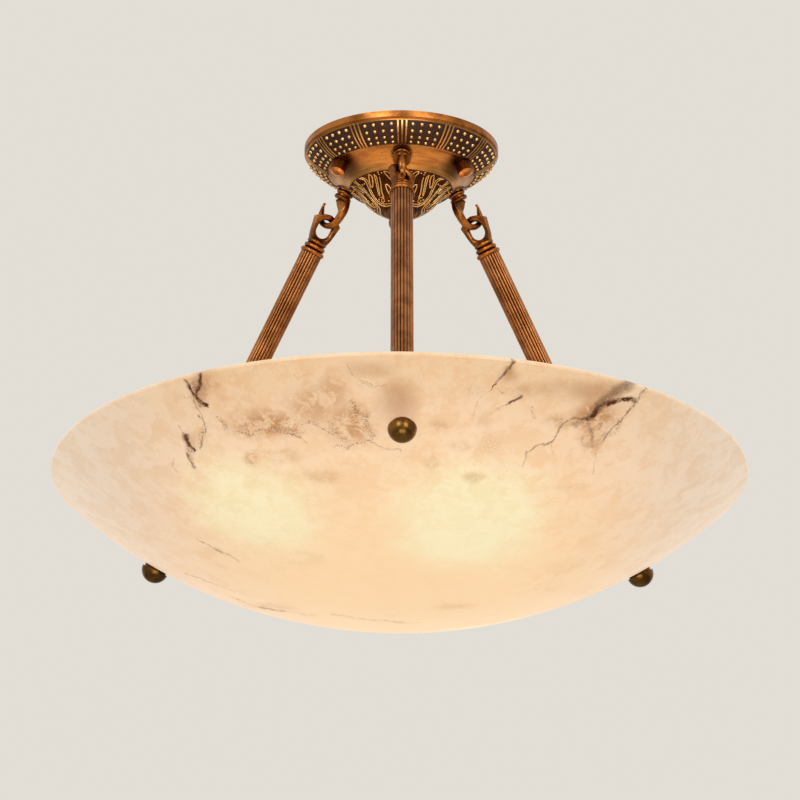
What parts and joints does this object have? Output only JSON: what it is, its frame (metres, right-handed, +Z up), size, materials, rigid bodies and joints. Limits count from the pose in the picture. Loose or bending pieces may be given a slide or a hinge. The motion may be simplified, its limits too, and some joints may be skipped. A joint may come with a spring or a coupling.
{
  "type": "alabaster bowl pendant",
  "caption": "Shallow alabaster bowl hung by three reeded rods from hooks under a small round ornamented brass ceiling canopy, with lamps inside the bowl.",
  "frame": {"origin": "on the ceiling plane, at the centre of the mounting plate and on the lamp's centre line", "axes": "+Z up into the ceiling, -Y towards the front rod, +X to the right of someone who faces the front rod"},
  "size_m": [0.5, 0.5, 0.357],
  "materials": {
    "alabaster": "polished translucent alabaster with brown veins",
    "cast_brass": "antique bronze patina, polished high points",
    "turned_brass": "antique bronze patina, turned",
    "steel": "zinc plated",
    "rubber": "matte",
    "holder_ceramic": "white glazed",
    "terminal_plastic": "matte",
    "bulb_cap_metal": "bright",
    "glass": "frosted"
  },
  "bodies": {
    "canopy": {"mounting_plate": "steel", "mounting_studs": "steel", "canopy_dish": "cast_brass", "canopy_dome": "cast_brass", "dome_bridge": "steel", "centre_rod": "steel", "centre_nut": "steel", "rosette": "turned_brass", "hook_arm_front": "cast_brass", "hook_arm_left": "cast_brass", "hook_arm_right": "cast_brass", "hook_washers": "steel", "hook_nuts": "steel", "terminal_block": "terminal_plastic"},
    "hung_bowl": {"rod_eye_front": "cast_brass", "rod_front": "cast_brass", "foot_stud_front": "steel", "rod_eye_left": "cast_brass", "rod_left": "cast_brass", "foot_stud_left": "steel", "rod_eye_right": "cast_brass", "rod_right": "cast_brass", "foot_stud_right": "steel", "inner_washers": "rubber", "outer_washers": "turned_brass", "alabaster_bowl": "alabaster", "lamp_bracket": "steel", "lampholder_left": "holder_ceramic", "lampholder_right": "holder_ceramic", "lampholder_rear": "holder_ceramic", "lampholder_nipples": "steel", "lampholder_nuts": "steel"},
    "centre_finial": {"centre_finial": "turned_brass"},
    "cap_nut_left": {"cap_nut_left": "turned_brass"},
    "cap_nut_right": {"cap_nut_right": "turned_brass"},
    "cap_nut_rear": {"cap_nut_rear": "turned_brass"},
    "ball_knob_front": {"ball_knob_front": "turned_brass"},
    "ball_knob_left": {"ball_knob_left": "turned_brass"},
    "ball_knob_right": {"ball_knob_right": "turned_brass"},
    "bulb_left": {"bulb_cap_left": "bulb_cap_metal", "bulb_glass_left": "glass"},
    "bulb_right": {"bulb_cap_right": "bulb_cap_metal", "bulb_glass_right": "glass"},
    "bulb_rear": {"bulb_cap_rear": "bulb_cap_metal", "bulb_glass_rear": "glass"}
  },
  "joints": [
    {"name": "bowl_lift", "type": "slide", "parent": "canopy", "child": "hung_bowl", "axis": [0, 0, 1], "range_m": [0, 0.004]},
    {"name": "finial_turn", "type": "hinge", "parent": "canopy", "child": "centre_finial", "pos_m": [0, 0, -0.0532], "axis": [0, 0, 1], "continuous": true},
    {"name": "cap_nut_left_turn", "type": "hinge", "parent": "canopy", "child": "cap_nut_left", "pos_m": [-0.04451, -0.0257, -0.022], "axis": [0.3244, 0.1873, 0.9272], "continuous": true},
    {"name": "cap_nut_right_turn", "type": "hinge", "parent": "canopy", "child": "cap_nut_right", "pos_m": [0.04451, -0.0257, -0.022], "axis": [-0.3244, 0.1873, 0.9272], "continuous": true},
    {"name": "cap_nut_rear_turn", "type": "hinge", "parent": "canopy", "child": "cap_nut_rear", "pos_m": [0, 0.0514, -0.022], "axis": [0, -0.3746, 0.9272], "continuous": true},
    {"name": "ball_knob_front_turn", "type": "hinge", "parent": "hung_bowl", "child": "ball_knob_front", "pos_m": [0, -0.0624, -0.0447], "axis": [0, 0.5, 0.866], "continuous": true},
    {"name": "ball_knob_left_turn", "type": "hinge", "parent": "hung_bowl", "child": "ball_knob_left", "pos_m": [-0.05404, 0.0312, -0.0447], "axis": [0.433, -0.25, 0.866], "continuous": true},
    {"name": "ball_knob_right_turn", "type": "hinge", "parent": "hung_bowl", "child": "ball_knob_right", "pos_m": [0.05404, 0.0312, -0.0447], "axis": [-0.433, -0.25, 0.866], "continuous": true},
    {"name": "bulb_left_turn", "type": "hinge", "parent": "hung_bowl", "child": "bulb_left", "pos_m": [-0.03938, 0.00414, -0.289], "axis": [-0.9945, 0.1045, 0], "continuous": true},
    {"name": "bulb_right_turn", "type": "hinge", "parent": "hung_bowl", "child": "bulb_right", "pos_m": [0.01611, -0.03618, -0.289], "axis": [0.4067, -0.9135, 0], "continuous": true},
    {"name": "bulb_rear_turn", "type": "hinge", "parent": "hung_bowl", "child": "bulb_rear", "pos_m": [0.02328, 0.03204, -0.289], "axis": [0.5878, 0.809, 0], "continuous": true}
  ]
}
